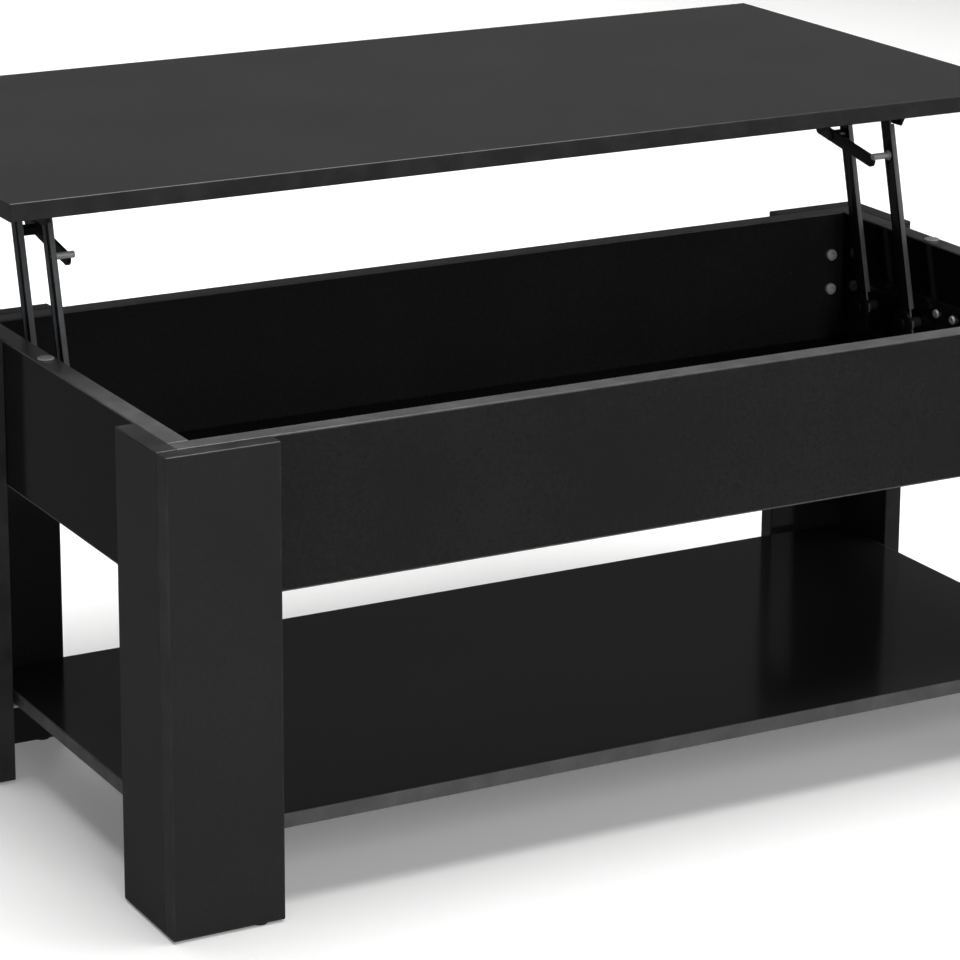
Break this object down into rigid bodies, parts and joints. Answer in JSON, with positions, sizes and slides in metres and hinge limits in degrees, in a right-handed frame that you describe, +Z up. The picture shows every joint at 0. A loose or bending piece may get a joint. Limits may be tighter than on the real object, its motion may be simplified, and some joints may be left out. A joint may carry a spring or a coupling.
{
  "type": "lift top coffee table",
  "caption": "Coffee table with a storage box, L-shaped board legs and a lower shelf, whose top lifts up and back on parallel arms.",
  "frame": {"origin": "on the floor, at the centre of the bottom of the bounding box with the top raised", "axes": "+X along the table's length, +Y towards the side the raised top moves to, +Z up; the front is -Y"},
  "size_m": [0.98, 0.7047, 0.5392],
  "materials": {
    "black_board": "melamine-faced particle board, black, semi-gloss",
    "black_steel": "black powder-coated pressed steel, with blackened pins",
    "zinc_steel": "zinc-plated fasteners, stop pins and shelf angles",
    "spring_steel": "oiled spring wire",
    "nylon": "moulded black nylon",
    "clear_rubber": "translucent soft bumper",
    "black_plastic": "black polyethylene glides",
    "beech": "fluted beech dowels"
  },
  "bodies": {
    "frame": {"front_panel": "black_board", "back_panel": "black_board", "left_end_panel": "black_board", "right_end_panel": "black_board", "bottom_panel": "black_board", "shelf": "black_board", "front_left_leg_face": "black_board", "front_left_leg_side": "black_board", "front_right_leg_face": "black_board", "front_right_leg_side": "black_board", "back_left_leg_face": "black_board", "back_left_leg_side": "black_board", "back_right_leg_face": "black_board", "back_right_leg_side": "black_board", "leg_bolts": "zinc_steel", "leg_inserts": "zinc_steel", "corner_dowels": "beech", "glides": "black_plastic", "lid_bumpers": "clear_rubber", "shelf_brackets": "zinc_steel", "shelf_screws": "zinc_steel", "left_base_bracket": "black_steel", "right_base_bracket": "black_steel", "base_screws": "zinc_steel", "base_pins": "black_steel", "base_bushes": "nylon", "left_spring": "spring_steel", "right_spring": "spring_steel"},
    "left_rear_arm": {"left_rear_arm": "black_steel", "left_stop_lever": "black_steel"},
    "right_rear_arm": {"right_rear_arm": "black_steel", "right_stop_lever": "black_steel"},
    "left_front_arm": {"left_front_arm": "black_steel", "left_stop_pin": "zinc_steel"},
    "right_front_arm": {"right_front_arm": "black_steel", "right_stop_pin": "zinc_steel"},
    "top": {"lift_top": "black_board", "left_top_bracket": "black_steel", "right_top_bracket": "black_steel", "top_screws": "zinc_steel", "top_pins": "black_steel", "top_bushes": "nylon"}
  },
  "joints": [
    {"name": "lift", "type": "hinge", "parent": "frame", "child": "left_rear_arm", "pos_m": [-0.4115, 0.01265, 0.314], "axis": [1, 0, 0], "range_deg": [0, 86.83], "deforming": ["left_spring"]},
    {"name": "top_level", "type": "hinge", "parent": "left_rear_arm", "child": "top", "pos_m": [-0.4115, 0.06007, 0.50418], "axis": [1, 0, 0], "range_deg": [-86.83, 0]},
    {"name": "right_rear_arm", "type": "hinge", "parent": "frame", "child": "right_rear_arm", "pos_m": [0.4115, 0.01265, 0.314], "axis": [1, 0, 0], "range_deg": [0, 86.83]},
    {"name": "left_front_arm", "type": "hinge", "parent": "frame", "child": "left_front_arm", "pos_m": [-0.4115, -0.05735, 0.314], "axis": [1, 0, 0], "range_deg": [0, 86.83]},
    {"name": "right_front_arm", "type": "hinge", "parent": "frame", "child": "right_front_arm", "pos_m": [0.4115, -0.05735, 0.314], "axis": [1, 0, 0], "range_deg": [0, 86.83], "deforming": ["right_spring"]}
  ],
  "couplings": [
    {"joint": "top_level", "follows": "lift", "ratio": -1},
    {"joint": "right_rear_arm", "follows": "lift", "ratio": 1},
    {"joint": "left_front_arm", "follows": "lift", "ratio": 1},
    {"joint": "right_front_arm", "follows": "lift", "ratio": 1}
  ]
}
